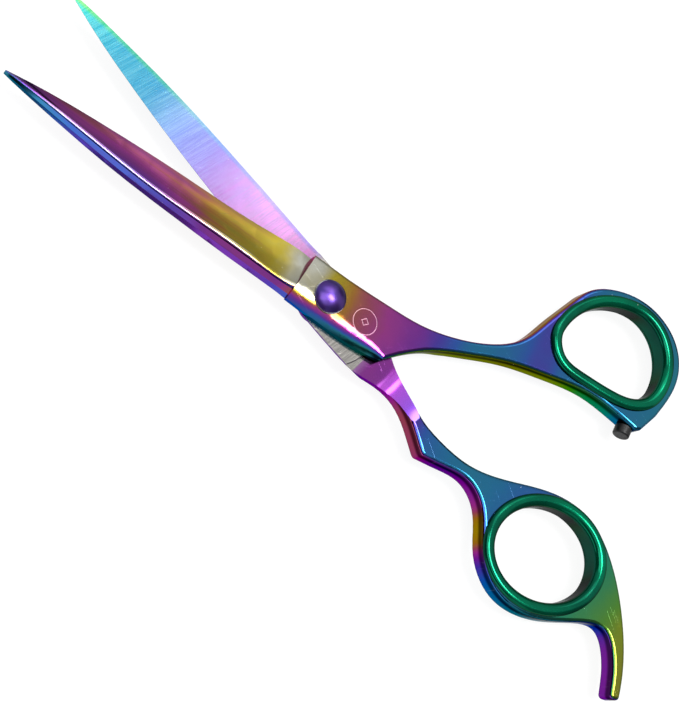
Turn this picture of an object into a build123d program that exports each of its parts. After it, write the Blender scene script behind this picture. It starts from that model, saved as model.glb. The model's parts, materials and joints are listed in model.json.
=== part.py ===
from build123d import *
import math
import os

# Barber shears, 7 inch class, lying flat.  Millimetres, +Z towards the front of the shears.
# Origin: on the pivot axis, in the plane of the nut's back face, on which the shears rest.
# The rear (finger) half lies along X with its point towards -X and its finger rest towards +X.
# Every piece is drawn with the shears closed and the plane where the two inner blade faces meet
# at height 0.  The front (thumb) half is then turned about the pivot by REST_OPENING, and the
# whole is raised so that the nut's back face is at height 0.

# Overall form
REST_OPENING = 16.7          # degrees between the blades in the rest pose
HALF_THICK = 2.6             # mating plane to the outer face of either half
FACE_GAP = 0.03              # each inner face stands this far off the mating plane
HANDLE_ROUND = 0.9           # rounding along the handle edges
CORNER_ROUND = 1.0           # rounding of the outline at its sharp corners
PLATE_START = -12.0          # the handle plate is drawn from here and trimmed at the boss step
CUTTER_SIZE = 30.0           # cutters reach this far, well beyond what they remove

# Blade
BLADE_LENGTH = 83.2          # pivot to point
BOSS_START = -8.0            # where the ground blade face steps up to the boss
EDGE_LAND = 0.12             # height of the flat land at the cutting edge
EDGE_LEAN = 0.02             # how far the land leans back over its height
HOLLOW = 0.16                # depth of the hollow grind
RIDGE_ROUND = 0.45           # half width of the rounded ridge, over the bevel's width
RIDGE_DROP = 0.04            # fall of the rounded ridge on the side of the cutting edge
BEVEL_DROP = 0.14            # fall of the rounded ridge on the spine side, over the bevel's width
SHOULDER_IN = 0.28           # shoulder of the spine bevel: from the spine, over the bevel's width
SHOULDER_UP = 0.55           # and its height over the ridge height
FINGER_SPINE_GROWTH = 0.9    # extra width of the finger half's blade where it meets the boss
# distance from the point, cutting edge, ridge and spine offsets, ridge height
BLADE_STATIONS = [
    (0.0, 0.40, -0.10, -0.55, 0.85),
    (4.0, 1.10, -0.30, -1.25, 1.05),
    (10.0, 2.00, -0.65, -2.05, 1.25),
    (20.0, 3.05, -1.45, -3.25, 1.50),
    (32.0, 3.95, -2.45, -4.30, 1.70),
    (46.0, 4.60, -2.85, -4.90, 1.85),
    (60.0, 5.25, -2.80, -5.25, 1.95),
    (76.0, 6.10, -2.40, -5.65, 2.05),
]

# Neck relief, turned about the pivot so that it clears the other half at every opening
MATING_RADIUS = 14.9         # end of the flat mating face
RELIEF_DEPTH = 0.40          # floor of the relief below the mating face
RELIEF_STEP = 0.2            # run of the step down to the floor
RELIEF_FLOOR_END = 19.0
RELIEF_CLEAR_RADIUS = 24.5   # the relief is back at the mating plane here
RELIEF_MID = (28.5, 1.15)
RELIEF_END = 33.5            # full handle thickness from here on
RELIEF_END_SLOPE = -0.25

# Pivot hardware
HEAD_RADIUS = 3.7
HEAD_RISE = 2.0
HEAD_RIM = 0.55
HEAD_CHAMFER = 0.1           # broken edge under the screw head
WASHER_RADIUS = 3.85
WASHER_THICK = 0.40
RECESS_GAP = 0.10
NECK_SQUARE = 3.9
NECK_CLEARANCE = 0.05
JOURNAL_RADIUS = 1.90
JOURNAL_CLEARANCE = 0.05
BUSH_RADIUS = 2.60
BUSH_CLEARANCE = 0.02
THREAD_RADIUS = 1.50
THREAD_CLEARANCE = 0.05
THREAD_CHAMFER = 0.3
SCREW_END = -5.35
RIDE_WASHER_RADIUS = 4.6
RIDE_WASHER_THICK = 0.30     # depth of its recess
RIDE_WASHER_PROUD = 0.02     # how far it stands out of the recess
SPRING_INNER = 2.10
SPRING_OUTER = 4.30
SPRING_THICK = 0.25
SPRING_HEIGHT = 0.58
NUT_WASHER_OUTER = 4.50
NUT_WASHER_THICK = 0.40
NUT_RADIUS = 4.40
NUT_FLANGE = 4.70
NUT_FLANGE_THICK = 0.50
NUT_CHAMFER = 0.35
NUT_THICK = 1.90
NUT_NOTCHES = 6
NUT_NOTCH_WIDTH = 1.10
NUT_NOTCH_DEPTH = 0.90
STACK_GAP = 0.03             # running gap between stacked washers

# Finger ring inserts
INSERT_WALL = 0.80
INSERT_FIT = 0.05
FRONT_LIP_WIDTH = 2.2
FRONT_LIP_RISE = 1.15
FRONT_LIP_ROUND = 1.10
FRONT_LIP_FLARE = 1.50       # rounding between the bore and the front lip
BACK_LIP_WIDTH = 1.2
BACK_LIP_RISE = 0.5
BACK_LIP_ROUND = 0.3
BACK_MOUTH_DEPTH = 2.3       # the back of the bore opens out as a cone
BACK_MOUTH_SPREAD = 1.5
FINGER_RING_CENTRE = (76.9, 0.5)
FINGER_RING_SEMI = (14.7, 11.65)
FINGER_RING_TURN = 38.0
GROWN_POINTS = 36            # points that carry the thumb opening when it is grown or shrunk

# Bumper under the thumb ring
BUMPER_X = 81.6
BUMPER_SEAT_Y = 18.65
BUMPER_TIP_Y = 16.35
BUMPER_RADIUS = 2.1
BUMPER_TIP_ROUND = 0.45
STUD_COVER = 1.2             # rubber between the stud and the bumper's tip
STUD_GAP = 0.02
STUD_CLEARANCE = 0.05
STUD_RADIUS = 0.8
STUD_FLANGE_RADIUS = 1.35
STUD_FLANGE_THICK = 0.5
STUD_TOP_Y = 22.0
STUD_HOLE_SPARE = 0.1        # the hole is this much deeper than the stud

# Outlines of the closed shears, seen from the front
THUMB_TOP = [(PLATE_START, 6.65), (2.6, 6.55), (13.0, 7.05), (22.1, 7.9), (30.8, 10.3), (39.7, 14.6),
             (46.6, 20.6), (50.6, 28.8), (55.8, 40.0)]
THUMB_RING = [(55.8, 40.0), (63.4, 47.3), (74.2, 49.9), (84.4, 46.4), (89.5, 35.0), (87.8, 26.4),
              (84.9, 19.6)]
THUMB_UNDER = [(83.6, 18.75), (76.6, 19.3), (68.7, 19.4), (57.1, 16.9), (46.1, 13.5), (36.2, 8.9),
               (27.0, 3.8), (22.8, 0.4), (17.4, -5.3)]
THUMB_SPINE = [(17.4, -5.3), (13.0, -5.95), (2.0, -6.25), (PLATE_START, -5.7)]
THUMB_HOLE = [(54.5, 28.8), (56.2, 34.6), (61.6, 41.4), (68.6, 45.3), (74.6, 46.2), (80.3, 44.0),
              (84.1, 39.2), (85.2, 33.2), (83.6, 27.7), (79.6, 24.4), (73.5, 22.8), (64.0, 22.0),
              (57.6, 22.9)]
FINGER_BOSS = [(PLATE_START, -6.55), (4.9, -6.65), (13.8, -6.3)]
FINGER_NECK = [(13.8, -6.3), (17.5, -5.3), (24.0, -3.2), (28.0, -3.05), (33.4, -4.6), (39.0, -7.3)]
FINGER_BACK = [(39.8, -7.55), (45.0, -5.1), (51.8, -2.6), (58.2, -4.4), (65.0, -11.2),
               (75.2, -15.1), (86.2, -10.8), (93.4, -4.2), (100.2, -0.1), (106.0, -3.5),
               (111.0, -10.4)]
FINGER_TOP = [(113.4, -9.1), (108.6, -1.3), (100.6, 6.8), (91.0, 13.2), (80.0, 16.2),
              (69.4, 13.1), (59.3, 6.1), (50.0, 0.6), (40.6, -1.4), (33.0, -1.2), (26.3, 1.2),
              (20.5, 3.6), (17.4, 5.3)]
FINGER_SPINE = [(17.4, 5.3), (13.0, 6.1), (2.0, 6.7), (PLATE_START, 6.5)]

# Rounded spine bevel along the boss: x, ridge offset, spine offset
BOSS_BEVEL = [(PLATE_START, -2.42, -5.80), (-2.0, -2.55, -6.20), (6.0, -3.20, -6.35),
              (12.0, -3.90, -6.15), (18.6, -5.60, -5.45)]
BEVEL_FOOT = 1.15            # height at which the spine bevel meets the vertical spine
BEVEL_BLEND = 1.2            # the boss face starts to round over this far above the ridge
BEVEL_REACH = 4.0            # the bevel cutters reach this far beyond the side

# Step between the boss and the blade: it leans back, and a small corner is cut off beside it
STEP_LEAN = 5.0              # degrees
STEP_CORNER_Y = 6.9
STEP_CORNER_SIZE = 1.5

# Bevel behind the finger half's boss, on the cutting side: x, inner offset, edge offset
EDGE_BEVEL = [(PLATE_START, -5.00, -6.58), (4.9, -5.10, -6.68), (12.0, -5.20, -6.45),
              (20.0, -4.50, -4.60)]
EDGE_BEVEL_FOOT = 0.45

# Shallow maker's-mark ring on the thumb half's boss, with a plain diamond inside it
MARK_X = 9.8
MARK_RADIUS = 3.1
MARK_LINE = 0.22
MARK_DEPTH = 0.06
MARK_DIAMOND = 1.5


def flipped(shape):
    """Turn a front-half shape over, so that it fits the rear half."""
    return shape.rotate(Axis.X, 180)


def at_rest(shape):
    """Turn a thumb-half shape from the closed position to the rest pose."""
    return shape.rotate(Axis.Z, REST_OPENING)


def disc(radius, low, high):
    """A solid cylinder on the pivot axis between two heights."""
    return Pos(0, 0, (low + high) / 2) * Cylinder(radius, high - low)


def washer(outer, inner, low, high):
    """A flat washer on the pivot axis."""
    return disc(outer, low, high) - disc(inner, low - 1, high + 1)


def blade_section(station, spine_growth):
    """Cross-section of the front blade: land, hollow grind, rounded ridge and spine bevel."""
    along, cut, ridge, spine, height = station
    x = along - BLADE_LENGTH
    spine -= spine_growth * (along / BLADE_STATIONS[-1][0]) ** 2
    width = ridge - spine
    near = Vector(x, ridge + RIDGE_ROUND * width / 2, height - RIDGE_DROP)
    crown = Vector(x, ridge, height)
    far = Vector(x, ridge - RIDGE_ROUND * width / 2, height - BEVEL_DROP * width)
    shoulder = Vector(x, spine + SHOULDER_IN * width, SHOULDER_UP * height)
    foot = Vector(x, spine, FACE_GAP)
    edge_low = Vector(x, cut, FACE_GAP)
    edge_high = Vector(x, cut - EDGE_LEAN, FACE_GAP + EDGE_LAND)
    middle = (edge_high + near) * 0.5 - Vector(0, 0, HOLLOW * height / 2)
    wire = Wire([
        ThreePointArc(edge_high, middle, near),
        ThreePointArc(near, crown, far),
        Line(far, shoulder),
        Line(shoulder, foot),
        Line(foot, edge_low),
        Line(edge_low, edge_high),
    ])
    return Face(wire)


def blade(spine_growth):
    """A front-half blade, from its point to just inside the boss, with its spine widened."""
    return loft([blade_section(station, spine_growth) for station in BLADE_STATIONS])


def prism(edges, low, high):
    """Extrude the outline made of these edges between two heights."""
    face = Face(Wire(edges))
    return Pos(0, 0, low) * extrude(face, high - low, dir=(0, 0, 1))


def rounded(solid, corners):
    """Round a plate's named corners, then its rims, except at the straight end by the blade."""
    uprights = solid.edges().filter_by(Axis.Z)
    chosen = []
    for corner in corners:
        chosen.append(uprights.sort_by_distance(Vector(*corner))[0])
    solid = solid.fillet(CORNER_ROUND, chosen)
    faces = solid.faces().sort_by(Axis.Z)
    rims = faces[0].edges() + faces[-1].edges()
    kept = [edge for edge in rims if edge.center().X > PLATE_START + 1]
    return solid.fillet(HANDLE_ROUND, kept)


def edge_bevel_cutter():
    """Removes the slope behind the finger half's boss, drawn as if on the front half."""
    top = HALF_THICK + 1.0
    sections = []
    for x, inner, side in EDGE_BEVEL:
        slope = (inner - side) / (HALF_THICK - EDGE_BEVEL_FOOT)
        sections.append(Face(Wire.make_polygon([
            (x, inner + slope, top),
            (x, side, EDGE_BEVEL_FOOT),
            (x, side - BEVEL_REACH, EDGE_BEVEL_FOOT),
            (x, side - BEVEL_REACH, top),
        ])))
    return loft(sections, ruled=True)


def rounded_bevel_cutter():
    """Rounds the boss face over to its side, towards -Y, on the front half."""
    top = HALF_THICK + 1.0
    fall = HALF_THICK - BEVEL_FOOT
    sections = []
    for x, ridge, side in BOSS_BEVEL:
        start = ridge + BEVEL_BLEND
        run = start - side
        radius = (run ** 2 + fall ** 2) / (2 * fall)
        turn = math.atan2(fall, run)
        middle = (x, start - radius * math.sin(turn), HALF_THICK - radius * (1 - math.cos(turn)))
        sections.append(Face(Wire([
            ThreePointArc((x, start, HALF_THICK), middle, (x, side, BEVEL_FOOT)),
            Line((x, side, BEVEL_FOOT), (x, side - BEVEL_REACH, BEVEL_FOOT)),
            Line((x, side - BEVEL_REACH, BEVEL_FOOT), (x, side - BEVEL_REACH, top)),
            Line((x, side - BEVEL_REACH, top), (x, start, top)),
            Line((x, start, top), (x, start, HALF_THICK)),
        ])))
    return loft(sections)


def maker_mark():
    """Cutter for the engraved ring and diamond beside the pivot."""
    floor = HALF_THICK - MARK_DEPTH
    ring = Circle(MARK_RADIUS) - Circle(MARK_RADIUS - MARK_LINE)
    outer = Rectangle(MARK_DIAMOND, MARK_DIAMOND)
    inner = Rectangle(MARK_DIAMOND - 2 * MARK_LINE, MARK_DIAMOND - 2 * MARK_LINE)
    diamond = Rot(0, 0, 45) * (outer - inner)
    return Pos(MARK_X, 0, floor) * extrude(ring + diamond, 1, dir=(0, 0, 1))


def mating_relief():
    """Everything that the front half leaves free behind its mating face and under its neck."""
    deep = -HALF_THICK - 1
    floor_start = MATING_RADIUS + RELIEF_STEP
    profile = Face(Wire([
        Line((0, 0, deep), (0, 0, FACE_GAP)),
        Line((0, 0, FACE_GAP), (MATING_RADIUS, 0, FACE_GAP)),
        Line((MATING_RADIUS, 0, FACE_GAP), (floor_start, 0, RELIEF_DEPTH)),
        Line((floor_start, 0, RELIEF_DEPTH), (RELIEF_FLOOR_END, 0, RELIEF_DEPTH)),
        Spline(
            (RELIEF_FLOOR_END, 0, RELIEF_DEPTH),
            (RELIEF_CLEAR_RADIUS, 0, 2 * FACE_GAP),
            (RELIEF_MID[0], 0, -RELIEF_MID[1]),
            (RELIEF_END, 0, -HALF_THICK),
            tangents=[(1, 0, 0), (1, 0, RELIEF_END_SLOPE)],
        ),
        Line((RELIEF_END, 0, -HALF_THICK), (RELIEF_END, 0, deep)),
        Line((RELIEF_END, 0, deep), (0, 0, deep)),
    ]))
    return revolve(profile, Axis.Z)


def boss_side_cut():
    """Removes the plate beyond the step between the boss and the ground blade."""
    block = Pos(-CUTTER_SIZE / 2, 0, 0) * Box(CUTTER_SIZE, CUTTER_SIZE, CUTTER_SIZE)
    step = Pos(BOSS_START, BOSS_BEVEL[1][1], 0) * Rot(0, 0, -STEP_LEAN) * block
    corner = Rot(0, 0, 45) * Box(STEP_CORNER_SIZE, STEP_CORNER_SIZE, CUTTER_SIZE)
    return step + Pos(BOSS_START, STEP_CORNER_Y, 0) * corner


def thumb_hole_face(growth):
    """The D-shaped thumb opening, grown outwards by the given amount."""
    base = Spline(*THUMB_HOLE, periodic=True)
    ring = []
    for index in range(GROWN_POINTS):
        along = index / GROWN_POINTS
        tangent = base.tangent_at(along)
        outward = Vector(-tangent.Y, tangent.X)
        ring.append(base.position_at(along) + outward * growth)
    return Face(Wire([Spline(*ring, periodic=True)]))


def finger_hole_face(growth):
    """The oval finger opening, grown outwards by the given amount."""
    major, minor = FINGER_RING_SEMI
    place = Pos(*FINGER_RING_CENTRE) * Rot(0, 0, FINGER_RING_TURN)
    return place * Ellipse(major + growth, minor + growth).face()


def through(face):
    """A cutter with this outline that passes right through either handle."""
    return Pos(0, 0, -CUTTER_SIZE / 2) * extrude(face, CUTTER_SIZE, dir=(0, 0, 1))


def square_hole():
    """Cutter for the square hole that keeps the screw from turning."""
    square = NECK_SQUARE + 2 * NECK_CLEARANCE
    return Box(square, square, CUTTER_SIZE)


def stud_hole():
    """Cutter for the bumper stud's blind hole, from the thumb ring's rim inwards."""
    top = STUD_TOP_Y + STUD_HOLE_SPARE
    return along_bumper(STUD_RADIUS + STUD_CLEARANCE, top, BUMPER_TIP_Y)


def thumb_half():
    """Front blade, boss, shank and thumb ring as one forging."""
    outline = [
        Spline(*THUMB_TOP, tangents=[(1, 0), (0.42, 0.91)]),
        Spline(*THUMB_RING, tangents=[(0.42, 0.91), (-0.42, -0.91)]),
        Line(THUMB_RING[-1], THUMB_UNDER[0]),
        Spline(*THUMB_UNDER),
        Spline(*THUMB_SPINE),
        Line(THUMB_SPINE[-1], THUMB_TOP[0]),
    ]
    corners = [THUMB_RING[-1], THUMB_UNDER[0]]
    body = rounded(prism(outline, -HALF_THICK, HALF_THICK), corners)
    body -= mating_relief()
    body -= rounded_bevel_cutter()
    body -= maker_mark()
    body -= boss_side_cut()
    body -= through(thumb_hole_face(0))
    body += blade(0)
    recess = HALF_THICK - WASHER_THICK
    body -= disc(WASHER_RADIUS + RECESS_GAP, recess, HALF_THICK + 1)
    body -= square_hole()
    body -= stud_hole()
    return body


def finger_half():
    """Rear blade, boss, shank, finger ring and finger rest as one forging."""
    outline = [
        Spline(*FINGER_BOSS),
        Spline(*FINGER_NECK, tangents=[(1, 0.1), (0.9, -0.42)]),
        Line(FINGER_NECK[-1], FINGER_BACK[0]),
        Spline(*FINGER_BACK, tangents=[(0.9, 0.42), (0.55, -0.84)]),
        Line(FINGER_BACK[-1], FINGER_TOP[0]),
        Spline(*FINGER_TOP),
        Spline(*FINGER_SPINE),
        Line(FINGER_SPINE[-1], FINGER_BOSS[0]),
    ]
    corners = [FINGER_NECK[-1], FINGER_BACK[0], FINGER_BACK[-1], FINGER_TOP[0]]
    body = rounded(prism(outline, -HALF_THICK, HALF_THICK), corners)
    body -= flipped(mating_relief())
    body -= flipped(rounded_bevel_cutter())
    body -= edge_bevel_cutter().mirror(Plane.XY)
    body -= flipped(boss_side_cut())
    body -= through(finger_hole_face(0))
    body += flipped(blade(FINGER_SPINE_GROWTH))
    body -= disc(BUSH_RADIUS + BUSH_CLEARANCE, -CUTTER_SIZE / 2, CUTTER_SIZE / 2)
    recess = -FACE_GAP - RIDE_WASHER_THICK
    body -= disc(RIDE_WASHER_RADIUS + RECESS_GAP, recess, 1)
    return body


def insert_side(hole_face, lip_width, lip_rise, lip_round):
    """Half of a ring insert: a sleeve from the mid plane up to a lip with a rounded rim."""
    reach = HALF_THICK + INSERT_FIT
    bore = through(hole_face(-INSERT_FIT - INSERT_WALL))
    lip = Pos(0, 0, reach) * extrude(hole_face(lip_width), lip_rise, dir=(0, 0, 1))
    lip = lip.fillet(lip_round, lip.faces().sort_by(Axis.Z)[-1].edges()) - bore
    sleeve = extrude(hole_face(-INSERT_FIT), reach, dir=(0, 0, 1)) - bore
    return sleeve + lip


def mouth_edges(side):
    """The edges where the bore meets the top of the lip."""
    return side.faces().sort_by(Axis.Z)[-1].inner_wires()[0].edges()


def ring_insert(hole_face):
    """Snap-in ring: a flared front lip, a sleeve and a smaller back lip with a conical mouth."""
    front = insert_side(hole_face, FRONT_LIP_WIDTH, FRONT_LIP_RISE, FRONT_LIP_ROUND)
    front = front.fillet(FRONT_LIP_FLARE, mouth_edges(front))
    back = insert_side(hole_face, BACK_LIP_WIDTH, BACK_LIP_RISE, BACK_LIP_ROUND)
    top = back.faces().sort_by(Axis.Z)[-1]
    back = back.chamfer(BACK_MOUTH_SPREAD, BACK_MOUTH_DEPTH, mouth_edges(back), face=top)
    return front + back.mirror(Plane.XY)


def pivot_screw():
    """Domed screw with a square neck, a plain journal and a threaded end."""
    base = HALF_THICK
    rim_top = base + HEAD_RIM
    dome = HEAD_RISE - HEAD_RIM
    crown = Vector(0, 0, base + HEAD_RISE)
    half = HEAD_RADIUS * math.sin(math.radians(45))
    sphere = (HEAD_RADIUS ** 2 + dome ** 2) / (2 * dome)
    shoulder_z = rim_top + math.sqrt(sphere ** 2 - half ** 2) - (sphere - dome)
    profile = Face(Wire([
        Line((0, 0, base), (HEAD_RADIUS - HEAD_CHAMFER, 0, base)),
        Line((HEAD_RADIUS - HEAD_CHAMFER, 0, base), (HEAD_RADIUS, 0, base + HEAD_CHAMFER)),
        Line((HEAD_RADIUS, 0, base + HEAD_CHAMFER), (HEAD_RADIUS, 0, rim_top)),
        ThreePointArc((HEAD_RADIUS, 0, rim_top), (half, 0, shoulder_z), crown),
        Line(crown, (0, 0, base)),
    ]))
    head = revolve(profile, Axis.Z)
    neck = Pos(0, 0, (base + FACE_GAP) / 2) * Box(NECK_SQUARE, NECK_SQUARE, base - FACE_GAP)
    journal = disc(JOURNAL_RADIUS, -HALF_THICK, FACE_GAP)
    thread = disc(THREAD_RADIUS, SCREW_END, -HALF_THICK)
    thread = thread.chamfer(THREAD_CHAMFER, THREAD_CHAMFER, thread.edges().sort_by(Axis.Z)[0:1])
    return head + neck + journal + thread


def head_washer():
    """Thin washer let into the thumb half under the screw head, with a square hole."""
    return disc(WASHER_RADIUS, HALF_THICK - WASHER_THICK, HALF_THICK) - square_hole()


def pivot_bush():
    """Plastic sleeve between the screw journal and the finger half."""
    low = -HALF_THICK
    high = -FACE_GAP - RIDE_WASHER_THICK
    return washer(BUSH_RADIUS, JOURNAL_RADIUS + JOURNAL_CLEARANCE, low, high)


def ride_washer():
    """Low-friction disc let into the finger half, on which the thumb half rides."""
    low = -FACE_GAP - RIDE_WASHER_THICK
    high = -FACE_GAP + RIDE_WASHER_PROUD
    return washer(RIDE_WASHER_RADIUS, JOURNAL_RADIUS + JOURNAL_CLEARANCE, low, high)


def spring_washer():
    """Conical spring washer behind the finger half."""
    top = -HALF_THICK - STACK_GAP
    profile = Face(Wire.make_polygon([
        (SPRING_OUTER, 0, top),
        (SPRING_OUTER, 0, top - SPRING_THICK),
        (SPRING_INNER, 0, top - SPRING_HEIGHT),
        (SPRING_INNER, 0, top - SPRING_HEIGHT + SPRING_THICK),
    ]))
    return revolve(profile, Axis.Z)


def nut_washer_top():
    """Height of the nut washer's upper face."""
    return -HALF_THICK - 2 * STACK_GAP - SPRING_HEIGHT


def nut_washer():
    """Plain washer between the spring washer and the nut."""
    top = nut_washer_top()
    return washer(NUT_WASHER_OUTER, THREAD_RADIUS + THREAD_CLEARANCE, top - NUT_WASHER_THICK, top)


def tension_nut():
    """Notched nut that sets the blade tension."""
    top = nut_washer_top() - NUT_WASHER_THICK - STACK_GAP
    low = top - NUT_THICK
    nut = disc(NUT_RADIUS, low, top)
    nut = nut.chamfer(NUT_CHAMFER, NUT_CHAMFER, nut.edges().sort_by(Axis.Z)[0:1])
    nut += disc(NUT_FLANGE, top - NUT_FLANGE_THICK, top)
    nut -= disc(THREAD_RADIUS + THREAD_CLEARANCE, low - 1, top + 1)
    notch_height = 2 * (NUT_THICK - NUT_FLANGE_THICK)
    notch = Pos(NUT_RADIUS, 0, low) * Box(2 * NUT_NOTCH_DEPTH, NUT_NOTCH_WIDTH, notch_height)
    for index in range(NUT_NOTCHES):
        nut -= Rot(0, 0, index * 360 / NUT_NOTCHES) * notch
    return nut


def rest_height():
    """How far the plane between the halves stands above the nut's back face."""
    return NUT_THICK + STACK_GAP + NUT_WASHER_THICK - nut_washer_top()


def along_bumper(radius, start, end):
    """A cylinder on the bumper's axis between two Y positions of the closed shears."""
    return Pos(BUMPER_X, (start + end) / 2, 0) * Rot(90, 0, 0) * Cylinder(radius, abs(end - start))


def bumper_pad():
    """Rubber stop that lands on the finger ring when the shears close."""
    pad = along_bumper(BUMPER_RADIUS, BUMPER_SEAT_Y, BUMPER_TIP_Y)
    pad = pad.fillet(BUMPER_TIP_ROUND, pad.edges().sort_by(Axis.Y)[0:1])
    end = BUMPER_TIP_Y + STUD_COVER
    pad -= along_bumper(STUD_RADIUS + STUD_GAP, BUMPER_SEAT_Y + 1, end - STUD_GAP)
    flange_top = end + STUD_FLANGE_THICK + STUD_GAP
    pad -= along_bumper(STUD_FLANGE_RADIUS + STUD_GAP, end - STUD_GAP, flange_top)
    return pad


def bumper_stud():
    """Metal stud that anchors the rubber stop in the thumb ring."""
    end = BUMPER_TIP_Y + STUD_COVER
    shaft = along_bumper(STUD_RADIUS, STUD_TOP_Y, end)
    return shaft + along_bumper(STUD_FLANGE_RADIUS, end, end + STUD_FLANGE_THICK)


PIECES = {
    "thumb_half": at_rest(thumb_half()),
    "finger_half": finger_half(),
    "thumb_ring_insert": at_rest(ring_insert(thumb_hole_face)),
    "finger_ring_insert": ring_insert(finger_hole_face),
    "pivot_screw": at_rest(pivot_screw()),
    "head_washer": at_rest(head_washer()),
    "pivot_bush": pivot_bush(),
    "ride_washer": ride_washer(),
    "spring_washer": spring_washer(),
    "nut_washer": nut_washer(),
    "tension_nut": tension_nut(),
    "bumper_pad": at_rest(bumper_pad()),
    "bumper_stud": at_rest(bumper_stud()),
}

os.makedirs("parts", exist_ok=True)
for name, piece in PIECES.items():
    export_step(Pos(0, 0, rest_height()) * piece, f"parts/{name}.step")
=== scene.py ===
import json
import math

import bpy
from mathutils import Matrix, Vector


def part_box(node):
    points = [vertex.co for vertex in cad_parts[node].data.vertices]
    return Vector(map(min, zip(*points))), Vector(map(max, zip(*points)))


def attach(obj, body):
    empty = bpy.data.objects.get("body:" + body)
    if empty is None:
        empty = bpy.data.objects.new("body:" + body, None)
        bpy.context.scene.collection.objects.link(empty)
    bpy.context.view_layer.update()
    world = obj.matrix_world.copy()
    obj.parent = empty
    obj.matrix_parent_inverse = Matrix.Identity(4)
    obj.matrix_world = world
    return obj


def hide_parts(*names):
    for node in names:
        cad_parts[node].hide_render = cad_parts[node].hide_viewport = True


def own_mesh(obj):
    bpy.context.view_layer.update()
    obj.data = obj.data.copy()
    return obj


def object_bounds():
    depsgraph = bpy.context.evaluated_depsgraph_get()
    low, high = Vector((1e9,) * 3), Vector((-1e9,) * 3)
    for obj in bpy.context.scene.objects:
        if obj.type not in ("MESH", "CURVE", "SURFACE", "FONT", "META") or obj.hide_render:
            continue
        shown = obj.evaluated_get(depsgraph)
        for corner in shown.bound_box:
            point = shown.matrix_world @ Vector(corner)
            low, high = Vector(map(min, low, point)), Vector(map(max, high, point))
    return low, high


# Looks for a pair of rainbow-coated barber shears.  The CAD nodes keep their shapes and get
# procedural materials: a thin interference film over polished steel, whose colour follows a
# film value (0 bare, then gold, magenta, purple, violet, blue, teal, green, 1 olive).
# Lengths are in metres unless a comment says otherwise.

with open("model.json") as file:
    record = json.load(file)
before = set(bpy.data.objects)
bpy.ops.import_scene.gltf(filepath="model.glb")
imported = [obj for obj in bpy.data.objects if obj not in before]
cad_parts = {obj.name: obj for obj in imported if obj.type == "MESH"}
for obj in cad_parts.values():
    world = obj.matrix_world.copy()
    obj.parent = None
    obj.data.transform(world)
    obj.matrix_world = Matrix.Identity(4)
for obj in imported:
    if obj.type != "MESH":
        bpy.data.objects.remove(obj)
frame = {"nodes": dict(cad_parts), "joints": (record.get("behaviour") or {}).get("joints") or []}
cad_low, cad_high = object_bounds()
nodes = frame["nodes"]

# Layout, all taken from the frame
half_low, half_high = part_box("thumb_half")
mating_z = (half_low.z + half_high.z) / 2
floor_z = cad_low.z
open_angle = -math.radians(frame["joints"][0]["range_deg"][0])

# Camera: where it stands, the direction back from the object, and its up direction
CAMERA_PLACE = Vector((-0.03795, -0.15812, 0.28270))
CAMERA_BACK = Vector((-0.1521, -0.4763, 0.8660))
CAMERA_UP = Vector((-0.7603, 0.6162, 0.2054))
CAMERA_LENS = 74.27
CAMERA_SENSOR = 36.0
CAMERA_NEAR, CAMERA_FAR = 0.01, 20.0

# Floor: half width, the glow the camera sees, the glow it gives level and steep rays and the
# height part of the directions between them, and its surface
FLOOR_HALF = 1.2
FLOOR_GLOW = 0.90
FLOOR_GLOW_LEVEL, FLOOR_GLOW_STEEP = 0.16, 0.66
FLOOR_DARK = (0.12, 0.12, 0.12, 1.0)
FLOOR_LIGHT = (0.15, 0.15, 0.15, 1.0)
FLOOR_STEEPNESS = (0.10, 0.60)
FLOOR_ROUGHNESS = 0.7
FLOOR_CLOUD_SIZE = 0.05
FLOOR_GRAIN_SIZE, FLOOR_GRAIN_DEPTH = 0.0008, 0.00001

# Sky.  A mask is a list of (axis of the direction, where the mask is 0, where it is 1).
TENT_RISE = (0.2, 0.92)
TENT_LOW, TENT_HIGH = 0.46, 0.68
SKY_SEEN = 1.0
FRONT_DARK = [("y", -0.05, -0.35), ("z", 0.90, 0.66), ("x", 0.62, 0.45)]
RIGHT_DARK = [("x", 0.36, 0.56), ("y", 0.46, 0.30), ("y", -0.60, -0.42), ("z", 0.85, 0.75)]
REAR_DARK = [("y", 0.76, 0.88), ("z", 0.52, 0.38), ("x", 0.06, 0.14)]
FAR_DARK = [("y", 0.76, 0.88), ("z", 0.22, 0.08)]
STRIP = [("y", -0.04, 0.06), ("y", 0.34, 0.26), ("z", 0.70, 0.85), ("x", -0.14, -0.04), ("x", 0.42, 0.32)]
PANEL = [("x", 0.03, -0.02), ("y", 0.24, 0.34), ("z", 0.55, 0.70)]
LOW = [("y", -0.34, -0.42), ("z", 0.78, 0.84), ("x", 0.30, 0.20)]
FRONT_LOW = [("y", -0.78, -0.90), ("z", 0.40, 0.25)]

# Light left in each dark mask, and the power of each light
DARKS = [(FRONT_DARK, 0.05), (RIGHT_DARK, 0.25), (REAR_DARK, 0.08), (FAR_DARK, 0.15)]
LIGHTS = [(STRIP, 15.0), (PANEL, 1.25), (LOW, 0.8), (FRONT_LOW, 1.2)]

# Round boxes: aim, angle to the outer edge and to the core in degrees, power
BOXES = [
    ((0.045, 0.522, 0.852), 2.9, 0.8, 4.2),
    ((-0.20, 0.50, 0.843), 4.0, 1.4, 9.0),
]

# A weak overhead lamp: place from the object's centre, size and power in watts
LAMP_OFFSET = Vector((-0.35, -0.25, 0.9))
LAMP_SIZE = 0.6
LAMP_POWER = 2.0

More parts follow.
